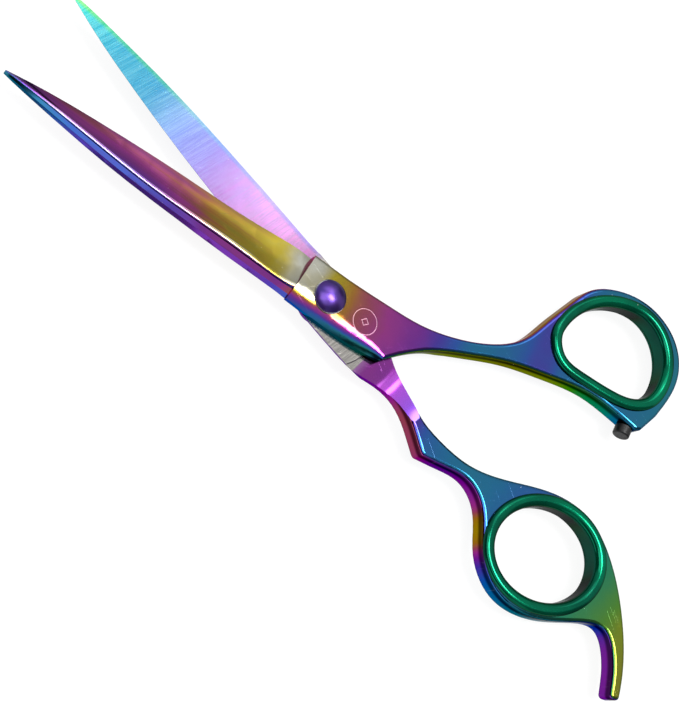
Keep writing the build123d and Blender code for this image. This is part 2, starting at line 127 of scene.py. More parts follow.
# Film colours, sRGB, from no film to thick film
FILM = [
    (0.00, (168, 168, 156)),
    (0.045, (160, 144, 14)),
    (0.10, (160, 106, 36)),
    (0.15, (156, 70, 92)),
    (0.21, (158, 50, 142)),
    (0.29, (120, 38, 154)),
    (0.38, (72, 52, 168)),
    (0.47, (36, 86, 176)),
    (0.55, (10, 112, 160)),
    (0.64, (4, 130, 140)),
    (0.74, (22, 138, 96)),
    (0.84, (82, 146, 40)),
    (0.93, (130, 146, 12)),
    (1.00, (132, 116, 14)),
]

# Film value along the closed shears: (x in millimetres from the pivot, value), for the faces
# that look to the front or back, the walls that look towards -Y and the walls towards +Y
THUMB_FACE = [
    (-84, 0.50), (-77, 0.27), (-66, 0.215), (-50, 0.20), (-38, 0.155), (-29, 0.09), (-20, 0.065),
    (-13, 0.05), (-9, 0.015), (-5, 0.01), (-2, 0.04), (3, 0.08), (7, 0.14), (12, 0.19),
    (17, 0.245), (22, 0.285), (27, 0.37), (32, 0.48), (37, 0.56), (44, 0.53), (49, 0.47),
    (53, 0.41), (59, 0.52), (70, 0.58), (80, 0.57), (90, 0.64),
]
THUMB_LOWER = [
    (-84, 0.60), (-72, 0.49), (-60, 0.38), (-45, 0.34), (-22, 0.33), (-8, 0.44), (0, 0.56),
    (8, 0.63), (17, 0.74), (24, 0.90),
    (40, 0.96), (56, 0.93), (66, 0.82), (76, 0.70), (80, 0.56), (90, 0.56),
]
THUMB_UPPER = [
    (-84, 0.30), (-40, 0.22), (0, 0.10), (20, 0.12), (44, 0.14), (50, 0.09), (58, 0.12),
    (70, 0.38), (80, 0.30), (90, 0.06),
]
FINGER_FACE = [
    (-84, 0.70), (-77, 0.645), (-68, 0.605), (-60, 0.575), (-53, 0.53), (-45, 0.43), (-38, 0.345),
    (-30, 0.28),
    (-10, 0.23), (14, 0.24), (24, 0.27), (33, 0.35), (38, 0.49), (46, 0.55), (52, 0.57), (60, 0.53),
    (68, 0.49), (80, 0.62), (92, 0.76), (99, 0.85), (106, 0.95), (114, 0.98),
]
FINGER_LOWER = [
    (-84, 0.66), (-30, 0.50), (0, 0.30), (14, 0.30), (24, 0.26), (32, 0.13), (39, 0.16),
    (44, 0.30), (52, 0.28), (58, 0.20), (62, 0.06), (65, 0.20), (68, 0.38), (76, 0.55),
    (85, 0.62), (93, 0.52), (100, 0.42), (106, 0.30), (114, 0.38),
]
FINGER_UPPER = [
    (-84, 0.60), (-30, 0.42), (14, 0.40), (28, 0.55), (44, 0.66), (60, 0.62), (80, 0.55),
    (96, 0.88), (114, 0.80),
]

# Spine of the rear blade, closed shears: (x in millimetres, y in centimetres)
SPINE = [
    (-84, 0.05), (-80, 0.112), (-76, 0.169), (-70, 0.247), (-60, 0.366), (-50, 0.453),
    (-40, 0.509), (-30, 0.554), (-20, 0.589), (-12, 0.612), (-8, 0.65), (114, 0.65),
]

# Cutting edge and ridge height of the front blade, closed shears: (x in mm, y or z in cm)
EDGE = [
    (-84, 0.02), (-80, 0.095), (-76, 0.16), (-70, 0.238), (-60, 0.33), (-50, 0.402),
    (-40, 0.45), (-30, 0.485), (-20, 0.555), (-12, 0.62), (114, 0.62),
]
RIDGE = [
    (-84, 0.08), (-80, 0.102), (-76, 0.117), (-70, 0.134), (-60, 0.158), (-50, 0.173),
    (-40, 0.183), (-30, 0.194), (-20, 0.196), (114, 0.196),
]
CENTIMETRE = 0.01

# Ends of the tracks along the closed shears
TRACK_LOW, TRACK_HIGH = -0.085, 0.115

# The pairs below are ramps, (where the effect is 0, where it is full), unless their comment
# says otherwise.  Those named LOOK, FLAT or SIDE are in the height or Y part of the normal.

# Faces take the face track and walls take a wall track.  Along the blade and boss, a surface
# that leans a little towards -Y takes its wall track early.
WALL_LOOK = (0.95, 0.50)
SIDE_LOOK = (-0.2, 0.2)
ROLLED_END = (0.022, 0.012)
ROLLED_LOOK = (0.992, 0.86)
ROLLED_SIDE = (0.0, -0.1)

# Uneven coating: sizes of its features, and their reach in film value
DRIFT_SIZE, DRIFT_REACH = 0.022, 0.09
MOTTLE_SIZE, MOTTLE_REACH = 0.0035, 0.03

# Inner face of the rear blade: how level it lies, its lowest height, and where the blade ends
INNER_LOOK = 0.95
INNER_FLOOR = -0.0006
INNER_END = (0.018, 0.015)

# Grinding lines across it: scale, turn in radians, noise values from weak to strong, and what
# the lines change: the film value both ways, the roughness from low to high, and the height
GRIND_SCALE = (4200.0, 110.0, 110.0)
GRIND_TURN = 0.12
GRIND_LINES = (0.3, 0.7)
GRIND_REACH = 0.011
GRIND_ROUGHNESS = (0.12, 0.20)
GRIND_DEPTH = 0.000002

# Haze over it on the lines, and a painted sheen that makes the blade paler towards the boss: their
# strengths.  Then a thicker film along the spine, by depth below it, and bare steel round the pivot, by its
# two ends.
HAZE_LINES, PAINTED_SHEEN_STRENGTH = 0.07, 0.17
HAZE_AND_SHEEN_COLOUR = (0.72, 0.75, 0.82, 1.0)
PAINTED_SHEEN_START = (-0.060, -0.048)
BAND_EDGE = (0.0014, 0.0003)
BAND_REACH = 0.11
BARE_START = (-0.010, -0.006)
BARE_END = (0.0160, 0.0155)
BARE_DARK, BARE_LIGHT = (140, 137, 132), (186, 183, 178)

# Front blade: its end at the boss, and the film that thickens from the cutting edge to the ridge
FRONT_END = (-0.014, -0.022)
FRONT_FLAT = (0.80, 0.92)
RISE_ACROSS = (0.003, -0.003)
RISE_FROM, RISE_TO = -0.05, 0.12
RISE_START = (-0.022, -0.05)

# Its dark streaks along the blade, and a painted dark reflection as a dark rim along the cutting edge
STREAK_SCALE = (22.0, 800.0, 60.0)
STREAK_START = (-0.012, -0.030)
STREAK_FILM, STREAK_SHADE = 0.16, 1.5
STREAK_COLOUR = (72, 30, 58)
PAINTED_RIM_WIDTH, PAINTED_RIM_STRENGTH = 0.0018, 0.45
PAINTED_RIM_COLOUR = (46, 14, 36)

# Depths below the ridge of the painted dark line, a dark reflection painted on the bevel under the ridge
PAINTED_LINE_TOP, PAINTED_LINE_FOOT = (0.00008, 0.00016), (0.00070, 0.00048)
PAINTED_LINE_LOOK = (0.86, 0.76)
PAINTED_LINE_START = (-0.080, -0.066)
PAINTED_LINE_STRENGTH = 0.85
PAINTED_LINE_COLOUR = (14, 44, 62)
# Wear along the ridge, whose pale tint is also a painted highlight that widens the white ridge line
WEAR_AND_HIGHLIGHT_DEPTH = (0.00011, 0.00003)
WEAR_AND_HIGHLIGHT_LOOK = (0.998, 0.985)
WEAR_AND_HIGHLIGHT_START = (-0.079, -0.068)
WEAR_AND_HIGHLIGHT_STRENGTH = 0.40
WEAR_AND_HIGHLIGHT_COLOUR = (214, 212, 216)

# Engraved ring beside the pivot of the thumb half, closed shears: its centre, its outer radius
# and the heights above the mating plane between which its floor lies
MARK_PLACE = (0.0098, 0.0)
MARK_REACH = 0.0034
MARK_LOW, MARK_HIGH = 0.0024, 0.00257
MARK_LOOK = 0.9
MARK_STRENGTH = 0.36
MARK_COLOUR = (0.62, 0.46, 0.52, 1.0)
MARK_ROUGHNESS = 0.45

# Painted shade on the walls towards -Y, darkest in their front part
PAINTED_SHADE_HEIGHT = (-0.0002, 0.0010)
PAINTED_SHADE_LOOK = (0.55, 0.25)
PAINTED_SHADE_SIDE = (0.1, -0.1)
PAINTED_SHADE_START = (0.010, 0.020)
PAINTED_SHADE_STRENGTH = 0.78
PAINTED_SHADE_COLOUR = (16, 18, 16)

# Surface of the coated halves: roughness from low to high, waviness, hairlines and their fade
# in noise values, and specks of dust in patches
HALF_ROUGHNESS = (0.08, 0.15)
CLOUD_SIZE = 0.009
WAVE_SIZE, WAVE_DEPTH = 0.006, 0.00002
HAIR_TINT, HAIR_ROUGHNESS, HAIR_DEPTH = 0.10, 0.08, 0.000003
HAIR_FADE = 0.04
HAIR_COLOUR = (0.7, 0.7, 0.72, 1.0)
DUST_SIZE = 0.0016
DUST_TINT, DUST_ROUGHNESS = 0.55, 0.4
DUST_PATCH_SIZE = 0.008
DUST_PATCH = (0.45, 0.6)
DUST_RADIUS = 0.05
DUST_COLOUR = (0.7, 0.7, 0.7, 1.0)
WHITE = (1.0, 1.0, 1.0, 1.0)

# Clear coat over the film, less of it on the walls, and the white share of the film's edge tint
COAT_IOR = 1.6
COAT_WEIGHT = 0.5
COAT_LOOK = (0.40, 0.75)
COAT_ROUGHNESS = 0.06
EDGE_WHITE = 0.30

# Screw and nut: film value, what is added to it at the foot and at the top, its drift, haze,
# roughness from low to high, waviness, hairlines and dust
SCREW_FILM, NUT_FILM = 0.37, 0.30
SCREW_FOOT, SCREW_TOP = 0.05, -0.03
SCREW_DRIFT_SIZE, SCREW_DRIFT_REACH = 0.003, 0.10
SCREW_HAZE = 0.28
SCREW_HAZE_COLOUR = (76, 70, 128)
SCREW_ROUGHNESS = (0.26, 0.34)
SCREW_COAT_ROUGHNESS = 0.22
SCREW_CLOUD_SIZE = 0.002
SCREW_WAVE_SIZE, SCREW_WAVE_DEPTH = 0.0012, 0.000002
SCREW_HAIR_ROUGHNESS, SCREW_HAIR_DEPTH = 0.1, 0.000002
SCREW_DUST_TINT = 0.6

# Turned steel: sizes of the turning marks and of the clouds, noise values of the marks from
# smooth to rough, and the depth of the marks
TURNED_SIZE, TURNED_CLOUD_SIZE = 0.00018, 0.004
TURNED_LINES = (0.25, 0.75)
TURNED_DEPTH = 0.000012

# Plastic and rubber: noise values from one tone to the other, sizes of the gloss and the waves
# as shares of the cloud size, size and share of the fine grain, and dust
MOULDED_TONES = (0.3, 0.7)
MOULDED_GLOSS, MOULDED_WAVE = 0.4, 0.8
MOULDED_GRAIN_SIZE, MOULDED_GRAIN_SHARE = 0.0004, 0.3
MOULDED_DUST_TINT = 0.5
MOULDED_DUST_COLOUR = (0.7, 0.72, 0.7, 1.0)

# Green inserts: a painted shade on their steep walls inside the finger holes: how steep a wall is when it
# gets the shade, and the shade's strength
INSERT_SHADE_LOOK = (0.55, 0.15)
INSERT_SHADE_STRENGTH = 0.65


def linear(colour):
    """An sRGB colour, 0 to 255, as a linear RGBA tuple."""
    out = []
    for channel in colour:
        c = channel / 255
        out.append(c / 12.92 if c <= 0.04045 else ((c + 0.055) / 1.055) ** 2.4)
    return (*out, 1.0)


class Graph:
    """A shader tree built with short calls that take and return sockets."""

    def __init__(self, name):
        self.material = bpy.data.materials.new(name)
        self.material.use_nodes = True
        self.tree = self.material.node_tree
        self.shader = self.tree.nodes["Principled BSDF"]
        coordinates = self.node("ShaderNodeTexCoord")
        self.place = coordinates.outputs["Object"]
        self.normal = coordinates.outputs["Normal"]

    def node(self, kind, **settings):
        made = self.tree.nodes.new(kind)
        for key, value in settings.items():
            setattr(made, key, value)
        return made

    def feed(self, socket, value):
        if isinstance(value, bpy.types.NodeSocket):
            self.tree.links.new(value, socket)
        else:
            socket.default_value = value

    def math(self, operation, first, second=0.0, clamp=False):
        made = self.node("ShaderNodeMath", operation=operation, use_clamp=clamp)
        self.feed(made.inputs[0], first)
        self.feed(made.inputs[1], second)
        return made.outputs[0]

    def times(self, first, *others):
        """The product of several values."""
        for other in others:
            first = self.math("MULTIPLY", first, other)
        return first

    def remap(self, value, low, high, new_low=0.0, new_high=1.0, kind="SMOOTHSTEP"):
        made = self.node("ShaderNodeMapRange", interpolation_type=kind)
        for socket, given in zip(made.inputs, (value, low, high, new_low, new_high)):
            self.feed(socket, given)
        return made.outputs["Result"]

    def mix(self, factor, first, second):
        made = self.node("ShaderNodeMix", data_type="FLOAT")
        self.feed(made.inputs[0], factor)
        self.feed(made.inputs[2], first)
        self.feed(made.inputs[3], second)
        return made.outputs[0]

    def tint(self, factor, first, second):
        made = self.node("ShaderNodeMix", data_type="RGBA", blend_type="MIX")
        self.feed(made.inputs[0], factor)
        self.feed(made.inputs[6], first)
        self.feed(made.inputs[7], second)
        return made.outputs[2]

    def split(self, vector):
        made = self.node("ShaderNodeSeparateXYZ")
        self.feed(made.inputs[0], vector)
        return made.outputs

    def turned(self, vector, angle):
        made = self.node("ShaderNodeVectorRotate", rotation_type="Z_AXIS")
        self.feed(made.inputs["Vector"], vector)
        made.inputs["Angle"].default_value = angle
        return made.outputs[0]

    def length(self, x, y):
        """Length of the vector (x, y)."""
        return self.math("SQRT", self.math("ADD", self.times(x, x), self.times(y, y)))

    def stretched(self, vector, scale):
        made = self.node("ShaderNodeMapping")
        self.feed(made.inputs["Vector"], vector)
        made.inputs["Scale"].default_value = scale
        return made.outputs[0]

    def noise(self, size, vector=None, detail=2.0):
        """Fractal noise with features of about this size in metres."""
        made = self.node("ShaderNodeTexNoise")
        self.feed(made.inputs["Vector"], self.place if vector is None else vector)
        made.inputs["Scale"].default_value = 1.0 / size
        made.inputs["Detail"].default_value = detail
        return made.outputs[0]

    def cells(self, size):
        """Distance to the nearest of a scatter of points, and a random colour per point."""
        made = self.node("ShaderNodeTexVoronoi")
        self.feed(made.inputs["Vector"], self.place)
        made.inputs["Scale"].default_value = 1.0 / size
        return made.outputs["Distance"], made.outputs["Color"]

    def curve(self, along, points):
        """A smooth value that follows (x in millimetres, value) points along the shears."""
        made = self.node("ShaderNodeFloatCurve")
        curve = made.mapping.curves[0]
        span = TRACK_HIGH - TRACK_LOW
        places = [((x / 1000 - TRACK_LOW) / span, value) for x, value in points]
        curve.points[0].location = places[0]
        curve.points[1].location = places[-1]
        for place in places[1:-1]:
            curve.points.new(*place)
        made.mapping.update()
        self.feed(made.inputs["Value"], along)
        return made.outputs[0]

    def film(self, value):
        """The film colour for a film value."""
        made = self.node("ShaderNodeValToRGB")
        ramp = made.color_ramp
        ramp.elements[0].position, ramp.elements[1].position = 0.0, 1.0
        ramp.elements[0].color = linear(FILM[0][1])
        ramp.elements[1].color = linear(FILM[-1][1])
        for position, colour in FILM[1:-1]:
            ramp.elements.new(position).color = linear(colour)
        self.feed(made.inputs[0], value)
        return made.outputs[0]

    def bump(self, height, distance, below=None):
        made = self.node("ShaderNodeBump")
        made.inputs["Distance"].default_value = distance
        self.feed(made.inputs["Height"], height)
        if below is not None:
            self.feed(made.inputs["Normal"], below)
        return made.outputs[0]

    def finish(self, colour, roughness, normal=None, metallic=0.0, **other):
        self.feed(self.shader.inputs["Base Color"], colour)
        self.feed(self.shader.inputs["Roughness"], roughness)
        self.feed(self.shader.inputs["Metallic"], metallic)
        if normal is not None:
            self.feed(self.shader.inputs["Normal"], normal)
        for key, value in other.items():
            self.feed(self.shader.inputs[key.replace("_", " ")], value)
        return self.material


class HalfPlace:
    """Where a shaded point is on one half of the closed shears, and which way it looks."""

    def __init__(self, g, turn):
        self.closed = g.turned(g.place, -turn)
        self.x, self.y, height = g.split(self.closed)
        self.z = g.math("SUBTRACT", height, mating_z)
        self.look_y, look_z = g.split(g.turned(g.normal, -turn))[1:]
        self.facing = g.math("ABSOLUTE", look_z)
        self.along = g.remap(self.x, TRACK_LOW, TRACK_HIGH, kind="LINEAR")

    def below(self, g, track, value):
        """How far a value lies below a track given in centimetres."""
        return g.math("SUBTRACT", g.times(g.curve(self.along, track), CENTIMETRE), value)


def scratches(g, place, angle, length, spacing, share):
    """Sparse straight hairlines in one direction: 1 on a line, 0 elsewhere."""
    fibres = g.noise(1.0, g.stretched(g.turned(place, angle), (1 / length, 1 / spacing, 1 / length)))
    return g.remap(fibres, 1 - share, 1 - share + HAIR_FADE)


def dust(g, size, share):
    """Sparse specks: 1 on a speck."""
    distance, colour = g.cells(size)
    chosen = g.math("GREATER_THAN", g.split(colour)[0], 1 - share)
    return g.times(g.math("LESS_THAN", distance, DUST_RADIUS), chosen)


def centred(g, value, reach):
    """A 0 to 1 value moved to sit around 0, with this reach."""
    return g.times(g.math("SUBTRACT", value, 0.5), reach)


def tracked_film(g, at, tracks):
    """Film value from the tracks: one for flat faces and one for each side's walls."""
    face, lower, upper = (g.curve(at.along, track) for track in tracks)
    side = g.mix(g.remap(at.look_y, *SIDE_LOOK), lower, upper)
    rolled = g.times(
        g.remap(at.x, *ROLLED_END), g.remap(at.facing, *ROLLED_LOOK), g.remap(at.look_y, *ROLLED_SIDE)
    )
    film = g.mix(g.math("MAXIMUM", rolled, g.remap(at.facing, *WALL_LOOK)), face, side)
    film = g.math("ADD", film, centred(g, g.noise(DRIFT_SIZE, detail=3.0), DRIFT_REACH))
    return g.math("ADD", film, centred(g, g.noise(MOTTLE_SIZE, detail=4.0), MOTTLE_REACH))


def inner_face_colour(g, at, film, roughness, normal):
    """Rear blade: grinding lines with haze, a painted sheen towards the boss, a thicker film along the
    spine, and bare steel at the pivot.
    """
    on_face = g.times(
        g.math("GREATER_THAN", at.facing, INNER_LOOK), g.math("GREATER_THAN", at.z, INNER_FLOOR)
    )
    on_blade = g.times(on_face, g.remap(at.x, *INNER_END))
    lines = g.noise(1.0, g.stretched(g.turned(at.closed, GRIND_TURN), GRIND_SCALE), detail=3.0)
    grind = g.remap(lines, *GRIND_LINES, -GRIND_REACH, GRIND_REACH)
    film = g.math("ADD", film, g.times(on_blade, grind))
    band = g.remap(at.below(g, SPINE, at.y), *BAND_EDGE, 0.0, BAND_REACH)
    film = g.math("ADD", film, g.times(on_blade, band))
    colour = g.film(g.math("MINIMUM", film, 1.0, clamp=True))
    # Painted sheen: the blade is tinted paler towards the boss, on top of the haze on the grinding lines
    painted_sheen = g.times(g.remap(at.x, *PAINTED_SHEEN_START), PAINTED_SHEEN_STRENGTH)
    haze = g.math("ADD", g.remap(lines, *GRIND_LINES, 0.0, HAZE_LINES), painted_sheen)
    colour = g.tint(g.times(on_blade, haze), colour, HAZE_AND_SHEEN_COLOUR)
    bare = g.times(on_face, g.remap(at.x, *BARE_START), g.remap(at.x, *BARE_END))
    colour = g.tint(bare, colour, g.tint(lines, linear(BARE_DARK), linear(BARE_LIGHT)))
    roughness = g.mix(on_blade, roughness, g.remap(lines, *GRIND_LINES, *GRIND_ROUGHNESS))
    normal = g.bump(g.times(lines, on_blade), GRIND_DEPTH, normal)
    return colour, roughness, normal


def engraved(g, at):
    """1 on the floor of the engraved ring and its diamond."""
    across = g.math("SUBTRACT", at.x, MARK_PLACE[0])
    up = g.math("SUBTRACT", at.y, MARK_PLACE[1])
    near = g.math("LESS_THAN", g.length(across, up), MARK_REACH)
    sunk = g.times(g.math("GREATER_THAN", at.z, MARK_LOW), g.math("LESS_THAN", at.z, MARK_HIGH))
    return g.times(near, sunk, g.math("GREATER_THAN", at.facing, MARK_LOOK))


def front_colour(g, at, film, roughness):
    """Front half: streaks along the blade, a painted dark reflection as a rim and as a line under the
    ridge, and wear at the ridge that also paints a highlight.
    """
    blade = g.remap(at.x, *FRONT_END)
    nearly_flat = g.remap(at.facing, *FRONT_FLAT)
    streaks = g.noise(1.0, g.stretched(at.closed, STREAK_SCALE), detail=3.0)
    streaks = centred(g, streaks, g.remap(at.x, *STREAK_START))
    rise = g.times(g.remap(at.y, *RISE_ACROSS, RISE_FROM, RISE_TO), g.remap(at.x, *RISE_START))
    film = g.math("ADD", film, g.times(rise, nearly_flat))
    film = g.math("ADD", film, g.times(streaks, STREAK_FILM))
    colour = g.film(g.math("MINIMUM", film, 1.0, clamp=True))

    mark = engraved(g, at)
    colour = g.tint(g.times(mark, MARK_STRENGTH), colour, MARK_COLOUR)
    shade = g.times(g.math("ABSOLUTE", streaks), nearly_flat)
    shade = g.math("MULTIPLY", shade, STREAK_SHADE, clamp=True)
    colour = g.tint(shade, colour, linear(STREAK_COLOUR))
    # Painted dark reflection: a dark rim along the cutting edge
    rim = g.remap(at.below(g, EDGE, at.y), PAINTED_RIM_WIDTH, 0.0, 0.0, PAINTED_RIM_STRENGTH)
    colour = g.tint(g.times(blade, rim), colour, linear(PAINTED_RIM_COLOUR))

    under = at.below(g, RIDGE, at.z)
    # Painted dark reflection: a dark line on the bevel just under the ridge
    line = g.times(
        g.remap(under, *PAINTED_LINE_TOP), g.remap(under, *PAINTED_LINE_FOOT), blade, g.remap(at.facing, *PAINTED_LINE_LOOK),
        g.remap(at.x, *PAINTED_LINE_START), PAINTED_LINE_STRENGTH,
    )
    colour = g.tint(line, colour, linear(PAINTED_LINE_COLOUR))
    # Wear along the ridge, also a painted highlight: a pale tint just under the ridge
    worn_and_highlight = g.times(
        g.remap(under, *WEAR_AND_HIGHLIGHT_DEPTH), g.remap(at.facing, *WEAR_AND_HIGHLIGHT_LOOK), g.remap(at.x, *WEAR_AND_HIGHLIGHT_START),
        blade, WEAR_AND_HIGHLIGHT_STRENGTH,
    )
    colour = g.tint(worn_and_highlight, colour, linear(WEAR_AND_HIGHLIGHT_COLOUR))
    return colour, g.mix(mark, roughness, MARK_ROUGHNESS)


def coated_half(name, turn, tracks, inner_face):
    """Polished steel under an interference film that changes along one half of the shears."""
    g = Graph(name)
    at = HalfPlace(g, turn)
    film = tracked_film(g, at, tracks)
    roughness = g.mix(g.noise(CLOUD_SIZE, detail=3.0), *HALF_ROUGHNESS)
    normal = g.bump(g.noise(WAVE_SIZE, detail=1.0), WAVE_DEPTH)
    if inner_face:
        colour, roughness, normal = inner_face_colour(g, at, film, roughness, normal)
    else:
        colour, roughness = front_colour(g, at, film, roughness)

    # Painted shade: the front part of the walls towards -Y is tinted dark
    shade = g.times(
        g.remap(at.z, *PAINTED_SHADE_HEIGHT), g.remap(at.facing, *PAINTED_SHADE_LOOK), g.remap(at.look_y, *PAINTED_SHADE_SIDE),
        g.remap(at.x, *PAINTED_SHADE_START), PAINTED_SHADE_STRENGTH,
    )
    colour = g.tint(shade, colour, linear(PAINTED_SHADE_COLOUR))
    hair = g.math(
        "MAXIMUM",
        scratches(g, at.closed, angle=0.4, length=0.012, spacing=0.00012, share=0.29),
        scratches(g, at.closed, angle=-0.7, length=0.008, spacing=0.00014, share=0.28),
    )
    patches = g.remap(g.noise(DUST_PATCH_SIZE), *DUST_PATCH)
    specks = g.times(dust(g, DUST_SIZE, share=0.5), patches)
    colour = g.tint(g.times(hair, HAIR_TINT), colour, HAIR_COLOUR)
    colour = g.tint(g.times(specks, DUST_TINT), colour, DUST_COLOUR)
    roughness = g.math("ADD", roughness, g.times(hair, HAIR_ROUGHNESS))
    roughness = g.math("ADD", roughness, g.times(specks, DUST_ROUGHNESS))
    return g.finish(
        colour, roughness, g.bump(hair, -HAIR_DEPTH, normal), metallic=1.0,
        Specular_Tint=g.tint(EDGE_WHITE, colour, WHITE), Coat_IOR=COAT_IOR,
        Coat_Roughness=COAT_ROUGHNESS, Coat_Weight=g.remap(at.facing, *COAT_LOOK, 0.0, COAT_WEIGHT),
    )


def coated_screw(name, low, high, base):
    """The same film on a small turned part, drifting with height."""
    g = Graph(name)
    height = g.split(g.place)[2]
    film = g.remap(height, low, high, base + SCREW_FOOT, base + SCREW_TOP, kind="LINEAR")
    film = g.math("ADD", film, centred(g, g.noise(SCREW_DRIFT_SIZE), SCREW_DRIFT_REACH))
    colour = g.tint(SCREW_HAZE, g.film(film), linear(SCREW_HAZE_COLOUR))
    colour = g.tint(g.times(dust(g, DUST_SIZE, share=0.35), SCREW_DUST_TINT), colour, HAIR_COLOUR)
    hair = scratches(g, g.place, angle=0.9, length=0.006, spacing=0.00012, share=0.28)
    roughness = g.mix(g.noise(SCREW_CLOUD_SIZE), *SCREW_ROUGHNESS)
    roughness = g.math("ADD", roughness, g.times(hair, SCREW_HAIR_ROUGHNESS))
    normal = g.bump(hair, -SCREW_HAIR_DEPTH, g.bump(g.noise(SCREW_WAVE_SIZE), SCREW_WAVE_DEPTH))
    return g.finish(
        colour, roughness, normal, metallic=1.0, Coat_Weight=COAT_WEIGHT, Coat_IOR=COAT_IOR,
        Coat_Roughness=SCREW_COAT_ROUGHNESS,
    )


def turned_steel(name, dark, light, roughness_low, roughness_high):
    """Bare steel with concentric turning marks about the pivot."""
    g = Graph(name)
    x, y, z = g.split(g.place)
    groove = g.node("ShaderNodeCombineXYZ")
    g.feed(groove.inputs[0], g.length(x, y))
    g.feed(groove.inputs[2], z)
    lines = g.noise(TURNED_SIZE, groove.outputs[0])
    cloud = g.noise(TURNED_CLOUD_SIZE, detail=3.0)
    colour = g.tint(g.times(g.math("ADD", lines, cloud), 0.5), linear(dark), linear(light))
    roughness = g.remap(lines, *TURNED_LINES, roughness_low, roughness_high)
    return g.finish(colour, roughness, g.bump(lines, TURNED_DEPTH), metallic=1.0)


def moulded(name, dark, light, size, roughness_low, roughness_high, grain, wall=None, **other):
    """A moulded plastic or rubber with cloudy colour and a fine surface grain."""
    g = Graph(name)
    cloud = g.noise(size, detail=3.0)
    colour = g.tint(g.remap(cloud, *MOULDED_TONES), linear(dark), linear(light))
    # Painted shade: a dark tint on steep walls, when a wall colour is given
    if wall is not None:
        facing = g.math("ABSOLUTE", g.split(g.normal)[2])
        painted_wall_shade = g.remap(facing, *INSERT_SHADE_LOOK, 0.0, INSERT_SHADE_STRENGTH)
        colour = g.tint(painted_wall_shade, colour, linear(wall))
    specks = g.times(dust(g, 2 * DUST_SIZE, share=0.25), MOULDED_DUST_TINT)
    colour = g.tint(specks, colour, MOULDED_DUST_COLOUR)
    gloss = g.noise(size * MOULDED_GLOSS)
    roughness = g.remap(gloss, *MOULDED_TONES, roughness_low, roughness_high)
    fine = g.bump(g.noise(MOULDED_GRAIN_SIZE), grain * MOULDED_GRAIN_SHARE)
    normal = g.bump(g.noise(size * MOULDED_WAVE, detail=1.0), grain, fine)
    if other.get("metallic"):
        other["Specular_Tint"] = colour
    return g.finish(colour, roughness, normal, **other)


def assign(node, material):
    """Puts one material on every face of a CAD node."""
    for slot in nodes[node].material_slots:
        slot.material = material


def dress():
    """Gives every CAD node that is shown its material."""
    screw_low, screw_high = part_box("pivot_screw")
    nut_low, nut_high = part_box("tension_nut")
    # Green inserts, with a painted shade on the steep walls inside the finger holes
    green = moulded(
        "green_insert", dark=(0, 92, 68), light=(0, 122, 86), size=0.012, roughness_low=0.1,
        roughness_high=0.18, grain=0.00001, wall=(2, 40, 46), metallic=0.85, Coat_Weight=0.12,
        Coat_Roughness=0.08,
    )
    steel = turned_steel(
        "turned_steel", dark=(118, 118, 120), light=(178, 178, 180), roughness_low=0.22,
        roughness_high=0.4,
    )
    plastic = moulded(
        "bearing_plastic", dark=(196, 192, 180), light=(222, 219, 208), size=0.003,
        roughness_low=0.4, roughness_high=0.55, grain=0.00001,
    )
    rubber = moulded(
        "black_rubber", dark=(5, 5, 6), light=(12, 12, 13), size=0.002, roughness_low=0.35,
        roughness_high=0.5, grain=0.00002,
    )
    thumb_tracks = (THUMB_FACE, THUMB_LOWER, THUMB_UPPER)
    finger_tracks = (FINGER_FACE, FINGER_LOWER, FINGER_UPPER)
    assign("thumb_half", coated_half("film_thumb", open_angle, thumb_tracks, inner_face=False))
    assign("finger_half", coated_half("film_finger", 0.0, finger_tracks, inner_face=True))
    assign("thumb_ring_insert", green)
    assign("finger_ring_insert", green)
    assign("pivot_screw", coated_screw("film_screw", screw_low.z, screw_high.z, SCREW_FILM))
    assign("tension_nut", coated_screw("film_nut", nut_low.z, nut_high.z, NUT_FILM))
    assign("head_washer", steel)
    assign("nut_washer", steel)
    assign("pivot_bush", plastic)
    assign("ride_washer", plastic)
    assign("bumper_pad", rubber)
    assign("bumper_stud", steel)


def make_spring():
    """The conical spring washer, copied from its CAD node with its own steel and fixed to the finger side;
    the real one goes flatter as the nut is turned in.
    """
    node = nodes["spring_washer"]
    mesh = node.data.copy()
    mesh.materials.clear()
    steel = turned_steel(
        "spring_steel", dark=(78, 78, 82), light=(120, 120, 124), roughness_low=0.28,
        roughness_high=0.45,
    )
    mesh.materials.append(steel)
    spring = bpy.data.objects.new("spring_washer_soft", mesh)
    spring.matrix_world = node.matrix_world.copy()
    bpy.context.scene.collection.objects.link(spring)
    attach(spring, "finger_side")
    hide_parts("spring_washer")
    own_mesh(spring)


def make_floor():
    """A plain white light table under the shears."""
    mesh = bpy.data.meshes.new("floor")
    signs = ((-1, -1), (1, -1), (1, 1), (-1, 1))
    corners = [(across * FLOOR_HALF, along * FLOOR_HALF, floor_z) for across, along in signs]
    mesh.from_pydata(corners, [], [(0, 1, 2, 3)])
    floor = bpy.data.objects.new("floor", mesh)
    bpy.context.scene.collection.objects.link(floor)
    g = Graph("floor_white")
    colour = g.tint(g.noise(FLOOR_CLOUD_SIZE), FLOOR_DARK, FLOOR_LIGHT)
    normal = g.bump(g.noise(FLOOR_GRAIN_SIZE), FLOOR_GRAIN_DEPTH)
    # a louvred light table: the glow goes up, and little of it goes out sideways
    steep = g.split(g.node("ShaderNodeNewGeometry").outputs["Incoming"])[2]
    louvred = g.remap(steep, *FLOOR_STEEPNESS, FLOOR_GLOW_LEVEL, FLOOR_GLOW_STEEP)
    seen = g.node("ShaderNodeLightPath").outputs["Is Camera Ray"]
    material = g.finish(
        colour, FLOOR_ROUGHNESS, normal, Specular_IOR_Level=0.0, Emission_Color=WHITE,
        Emission_Strength=g.mix(seen, louvred, FLOOR_GLOW),
    )
    mesh.materials.append(material)


